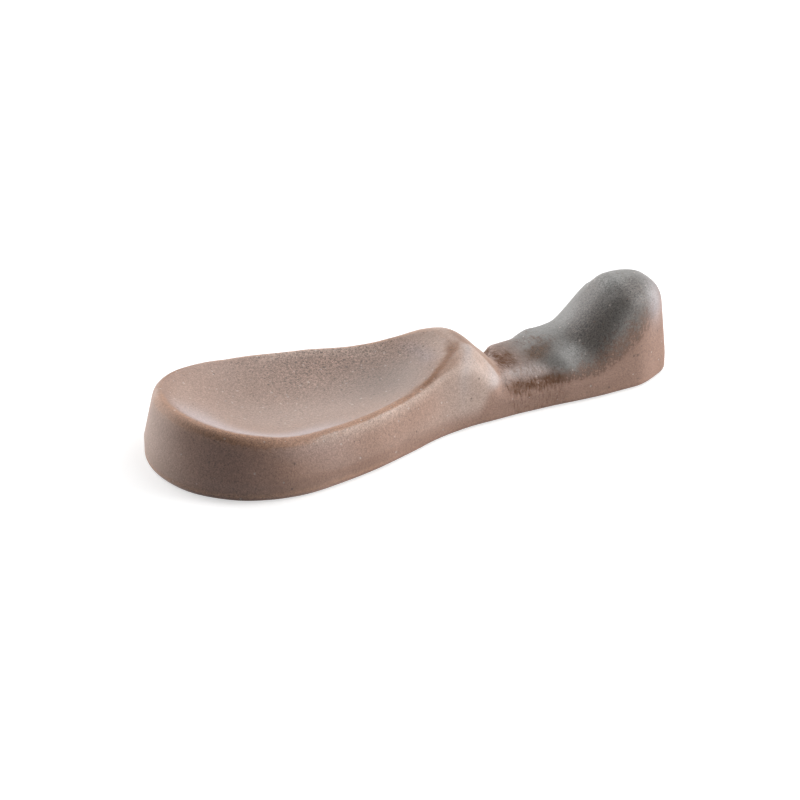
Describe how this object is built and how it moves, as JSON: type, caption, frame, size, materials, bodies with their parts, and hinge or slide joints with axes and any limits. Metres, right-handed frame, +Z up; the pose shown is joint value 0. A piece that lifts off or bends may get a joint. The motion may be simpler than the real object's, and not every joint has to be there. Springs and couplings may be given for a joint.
{
  "type": "chopstick rest",
  "caption": "Glazed stoneware rest with a shallow dish for a spoon's bowl, a low neck for chopsticks and a raised knob.",
  "frame": {"origin": "on the table, under the middle of the rest's length and width", "axes": "+X from the dish to the knob, +Y across, +Z up"},
  "size_m": [0.088, 0.034, 0.017],
  "materials": {
    "bare_clay": "matt",
    "brown_glaze": "satin",
    "grey_glaze": "satin"
  },
  "bodies": {
    "root": {"clay_body": "bare_clay", "brown_glaze": "brown_glaze", "grey_glaze": "grey_glaze"}
  },
  "joints": []
}
